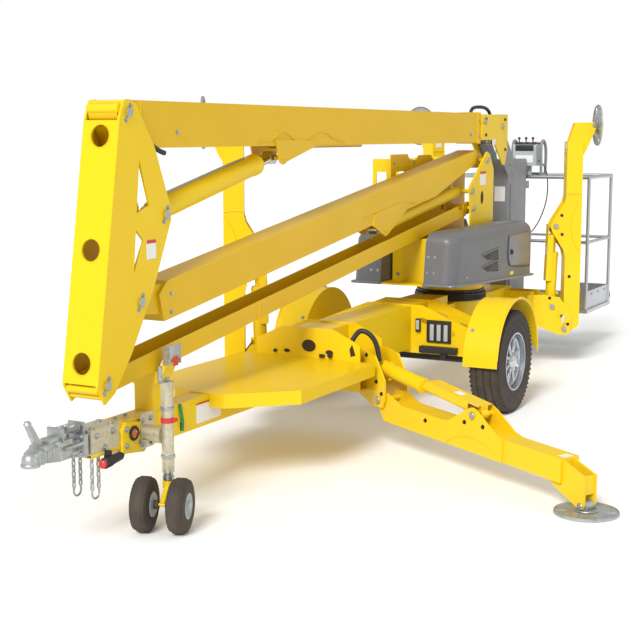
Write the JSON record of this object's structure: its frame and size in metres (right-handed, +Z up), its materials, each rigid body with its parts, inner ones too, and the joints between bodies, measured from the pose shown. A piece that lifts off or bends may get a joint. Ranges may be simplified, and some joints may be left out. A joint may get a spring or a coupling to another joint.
{
  "type": "towable articulating boom lift",
  "caption": "Trailer-mounted articulating boom lift with telescoping upper boom, levelled basket, swing-down outriggers, covered turntable, road wheels and tongue jack.",
  "frame": {"origin": "middle of the bottom of the parked machine's box, on the ground", "axes": "+X from the coupler towards the platform, +Z up, so the lowered outrigger is on the -Y side"},
  "size_m": [7.0814, 2.9085, 2.07],
  "materials": {
    "yellow_paint": "gloss",
    "grey_paint": "satin",
    "dark_steel": "satin",
    "zinc": "satin",
    "rod_chrome": "polished",
    "silver_tube": "satin",
    "tyre_rubber": "matt",
    "cover_plastic": "matt",
    "white_plastic": "matt",
    "box_plastic": "matt",
    "pack_block": "matt"
  },
  "bodies": {
    "chassis": {"chassis_frame": "yellow_paint", "outrigger_ears": "yellow_paint", "front_deck": "yellow_paint", "tongue_beam": "yellow_paint", "coupler_sleeve": "zinc", "coupler_head": "zinc", "safety_chains": "zinc", "boom_rest": "yellow_paint", "rest_pads": "white_plastic", "jack_bracket": "zinc", "axle_beam": "dark_steel", "slew_ring": "dark_steel", "mudguard_near": "yellow_paint", "mudguard_far": "yellow_paint", "turntable": "yellow_paint", "side_rack": "yellow_paint", "cover_near": "cover_plastic", "cover_far": "cover_plastic", "power_pack_near": "pack_block", "power_pack_far": "pack_block"},
    "road_wheel_near": {"tyre_near": "tyre_rubber", "rim_near": "silver_tube"},
    "road_wheel_far": {"tyre_far": "tyre_rubber", "rim_far": "silver_tube"},
    "jack_upright": {"jack_outer_tube": "zinc"},
    "jack_leg": {"jack_inner_leg": "zinc"},
    "jack_caster": {"jack_fork": "yellow_paint"},
    "jack_wheels": {"jack_twin_wheels": "tyre_rubber"},
    "outrigger_near_front": {"outrigger_arm_near_front": "yellow_paint", "outrigger_pad_near_front": "zinc"},
    "outrigger_barrel_near_front": {"outrigger_barrel_near_front": "yellow_paint"},
    "outrigger_rod_near_front": {"outrigger_rod_near_front": "rod_chrome"},
    "outrigger_far_front": {"outrigger_arm_far_front": "yellow_paint", "outrigger_pad_far_front": "zinc"},
    "outrigger_barrel_far_front": {"outrigger_barrel_far_front": "yellow_paint"},
    "outrigger_rod_far_front": {"outrigger_rod_far_front": "rod_chrome"},
    "outrigger_near_rear": {"outrigger_arm_near_rear": "yellow_paint", "outrigger_pad_near_rear": "zinc"},
    "outrigger_barrel_near_rear": {"outrigger_barrel_near_rear": "yellow_paint"},
    "outrigger_rod_near_rear": {"outrigger_rod_near_rear": "rod_chrome"},
    "outrigger_far_rear": {"outrigger_arm_far_rear": "yellow_paint", "outrigger_pad_far_rear": "zinc"},
    "outrigger_barrel_far_rear": {"outrigger_barrel_far_rear": "yellow_paint"},
    "outrigger_rod_far_rear": {"outrigger_rod_far_rear": "rod_chrome"},
    "lower_boom": {"lower_boom": "yellow_paint"},
    "tension_link": {"tension_link": "yellow_paint"},
    "knuckle": {"knuckle": "yellow_paint"},
    "lower_lift_barrel": {"lower_lift_barrel": "dark_steel"},
    "lower_lift_rod": {"lower_lift_rod": "rod_chrome"},
    "upper_boom": {"upper_boom": "yellow_paint"},
    "upper_lift_barrel": {"upper_lift_barrel": "dark_steel"},
    "upper_lift_rod": {"upper_lift_rod": "rod_chrome"},
    "telescope": {"inner_boom": "yellow_paint", "boom_tip": "yellow_paint"},
    "level_barrel": {"level_barrel": "dark_steel"},
    "level_rod": {"level_rod": "rod_chrome"},
    "platform": {"platform_column": "grey_paint", "platform_basket": "silver_tube", "platform_console": "box_plastic"},
    "gate": {"platform_gate": "silver_tube"}
  },
  "joints": [
    {"name": "road_wheel_near_spin", "type": "hinge", "parent": "chassis", "child": "road_wheel_near", "pos_m": [0.3977, -0.10589, 0.343], "axis": [0, 1, 0], "continuous": true},
    {"name": "road_wheel_far_spin", "type": "hinge", "parent": "chassis", "child": "road_wheel_far", "pos_m": [0.3977, 1.33411, 0.343], "axis": [0, 1, 0], "continuous": true},
    {"name": "jack_swing", "type": "hinge", "parent": "chassis", "child": "jack_upright", "pos_m": [-2.7783, 0.40211, 0.44], "axis": [0, 1, 0], "range_deg": [-90, 0]},
    {"name": "jack_extend", "type": "slide", "parent": "jack_upright", "child": "jack_leg", "axis": [0, 0, -1], "range_m": [0, 0.25]},
    {"name": "jack_caster_turn", "type": "hinge", "parent": "jack_leg", "child": "jack_caster", "pos_m": [-2.7783, 0.40211, 0.2], "axis": [0, 0, 1], "continuous": true},
    {"name": "jack_wheels_spin", "type": "hinge", "parent": "jack_caster", "child": "jack_wheels", "pos_m": [-2.87393, 0.37288, 0.13], "axis": [0.2924, -0.9563, 0], "continuous": true},
    {"name": "outrigger_near_front_lower", "type": "hinge", "parent": "chassis", "child": "outrigger_near_front", "pos_m": [-0.8923, 0.11411, 0.3], "axis": [0.8788, -0.4772, 0], "range_deg": [-91.8, 13.2]},
    {"name": "outrigger_barrel_near_front_tilt", "type": "hinge", "parent": "chassis", "child": "outrigger_barrel_near_front", "pos_m": [-0.84458, 0.202, 0.48], "axis": [0.8788, -0.4772, 0], "range_deg": [-93.54, 14.31]},
    {"name": "outrigger_rod_near_front_push", "type": "slide", "parent": "outrigger_barrel_near_front", "child": "outrigger_rod_near_front", "axis": [-0.4728, -0.8708, -0.1352], "range_m": [-0.3188, 0.0484]},
    {"name": "outrigger_far_front_lower", "type": "hinge", "parent": "chassis", "child": "outrigger_far_front", "pos_m": [-0.8923, 1.11411, 0.3], "axis": [-0.8788, -0.4772, 0], "range_deg": [0, 105]},
    {"name": "outrigger_barrel_far_front_tilt", "type": "hinge", "parent": "chassis", "child": "outrigger_barrel_far_front", "pos_m": [-0.84458, 1.02623, 0.48], "axis": [-0.8788, -0.4772, 0], "range_deg": [0, 110.72]},
    {"name": "outrigger_rod_far_front_push", "type": "slide", "parent": "outrigger_barrel_far_front", "child": "outrigger_rod_far_front", "axis": [-0.0149, 0.0275, 0.9995], "range_m": [0, 0.2962]},
    {"name": "outrigger_near_rear_lower", "type": "hinge", "parent": "chassis", "child": "outrigger_near_rear", "pos_m": [2.3027, 0.06911, 0.3], "axis": [0.8788, 0.4772, 0], "range_deg": [0, 105]},
    {"name": "outrigger_barrel_near_rear_tilt", "type": "hinge", "parent": "chassis", "child": "outrigger_barrel_near_rear", "pos_m": [2.25498, 0.157, 0.48], "axis": [0.8788, 0.4772, 0], "range_deg": [0, 110.72]},
    {"name": "outrigger_rod_near_rear_push", "type": "slide", "parent": "outrigger_barrel_near_rear", "child": "outrigger_rod_near_rear", "axis": [0.0149, -0.0275, 0.9995], "range_m": [0, 0.2962]},
    {"name": "outrigger_far_rear_lower", "type": "hinge", "parent": "chassis", "child": "outrigger_far_rear", "pos_m": [2.3027, 1.15911, 0.3], "axis": [-0.8788, 0.4772, 0], "range_deg": [0, 105]},
    {"name": "outrigger_barrel_far_rear_tilt", "type": "hinge", "parent": "chassis", "child": "outrigger_barrel_far_rear", "pos_m": [2.25498, 1.07123, 0.48], "axis": [-0.8788, 0.4772, 0], "range_deg": [0, 110.72]},
    {"name": "outrigger_rod_far_rear_push", "type": "slide", "parent": "outrigger_barrel_far_rear", "child": "outrigger_rod_far_rear", "axis": [0.0149, 0.0275, 0.9995], "range_m": [0, 0.2962]},
    {"name": "lower_boom_lift", "type": "hinge", "parent": "chassis", "child": "lower_boom", "pos_m": [1.6677, 0.61411, 1.642], "axis": [0, 1, 0], "range_deg": [0, 65]},
    {"name": "tension_link_turn", "type": "hinge", "parent": "chassis", "child": "tension_link", "pos_m": [1.3937, 0.61411, 1.294], "axis": [0, 1, 0], "range_deg": [0, 66]},
    {"name": "knuckle_turn", "type": "hinge", "parent": "lower_boom", "child": "knuckle", "pos_m": [-2.8143, 0.61411, 1.066], "axis": [0, 1, 0], "range_deg": [-66, 0]},
    {"name": "lower_lift_barrel_tilt", "type": "hinge", "parent": "chassis", "child": "lower_lift_barrel", "pos_m": [1.3577, 0.61411, 1.42], "axis": [0, 1, 0], "range_deg": [0, 73.21]},
    {"name": "lower_lift_rod_push", "type": "slide", "parent": "lower_lift_barrel", "child": "lower_lift_rod", "axis": [-0.991, 0, -0.1342], "range_m": [0, 0.3265]},
    {"name": "upper_boom_lift", "type": "hinge", "parent": "knuckle", "child": "upper_boom", "pos_m": [-2.8833, 0.61411, 1.937], "axis": [0, -1, 0], "range_deg": [0, 70]},
    {"name": "upper_lift_barrel_tilt", "type": "hinge", "parent": "knuckle", "child": "upper_lift_barrel", "pos_m": [-2.5993, 0.61411, 1.463], "axis": [0, -1, 0], "range_deg": [0, 65.9]},
    {"name": "upper_lift_rod_push", "type": "slide", "parent": "upper_lift_barrel", "child": "upper_lift_rod", "axis": [0.9777, 0, 0.21], "range_m": [0, 0.6502]},
    {"name": "upper_boom_telescope", "type": "slide", "parent": "upper_boom", "child": "telescope", "axis": [1, 0, 0], "range_m": [0, 3]},
    {"name": "platform_level", "type": "hinge", "parent": "telescope", "child": "platform", "pos_m": [2.0677, 0.61411, 1.9], "axis": [0, -1, 0], "range_deg": [-71, 0]},
    {"name": "level_barrel_tilt", "type": "hinge", "parent": "telescope", "child": "level_barrel", "pos_m": [1.6757, 0.61411, 1.935], "axis": [0, -1, 0], "range_deg": [0, 12.2]},
    {"name": "level_rod_push", "type": "slide", "parent": "level_barrel", "child": "level_rod", "axis": [0.916, 0, -0.4011], "range_m": [-0.1293, 0]},
    {"name": "platform_gate_open", "type": "hinge", "parent": "platform", "child": "gate", "pos_m": [3.5217, 0.35091, 0.9], "axis": [0, 0, 1], "range_deg": [0, 88]}
  ],
  "couplings": [
    {"joint": "outrigger_barrel_near_front_tilt", "follows": "outrigger_near_front_lower", "ratio": 1.0081},
    {"joint": "outrigger_rod_near_front_push", "follows": "outrigger_near_front_lower", "m_per_rad": 0.1971},
    {"joint": "outrigger_barrel_far_front_tilt", "follows": "outrigger_far_front_lower", "ratio": 1.045},
    {"joint": "outrigger_rod_far_front_push", "follows": "outrigger_far_front_lower", "m_per_rad": 0.16},
    {"joint": "outrigger_barrel_near_rear_tilt", "follows": "outrigger_near_rear_lower", "ratio": 1.045},
    {"joint": "outrigger_rod_near_rear_push", "follows": "outrigger_near_rear_lower", "m_per_rad": 0.16},
    {"joint": "outrigger_barrel_far_rear_tilt", "follows": "outrigger_far_rear_lower", "ratio": 1.045},
    {"joint": "outrigger_rod_far_rear_push", "follows": "outrigger_far_rear_lower", "m_per_rad": 0.16},
    {"joint": "tension_link_turn", "follows": "lower_boom_lift", "ratio": 1},
    {"joint": "knuckle_turn", "follows": "lower_boom_lift", "ratio": -1},
    {"joint": "lower_lift_barrel_tilt", "follows": "lower_boom_lift", "ratio": 1.1109},
    {"joint": "lower_lift_rod_push", "follows": "lower_boom_lift", "m_per_rad": 0.2834},
    {"joint": "upper_lift_barrel_tilt", "follows": "upper_boom_lift", "ratio": 0.9272},
    {"joint": "upper_lift_rod_push", "follows": "upper_boom_lift", "m_per_rad": 0.5281},
    {"joint": "platform_level", "follows": "upper_boom_lift", "ratio": -1},
    {"joint": "level_barrel_tilt", "follows": "upper_boom_lift", "ratio": 0.16},
    {"joint": "level_rod_push", "follows": "upper_boom_lift", "m_per_rad": -0.1034}
  ]
}
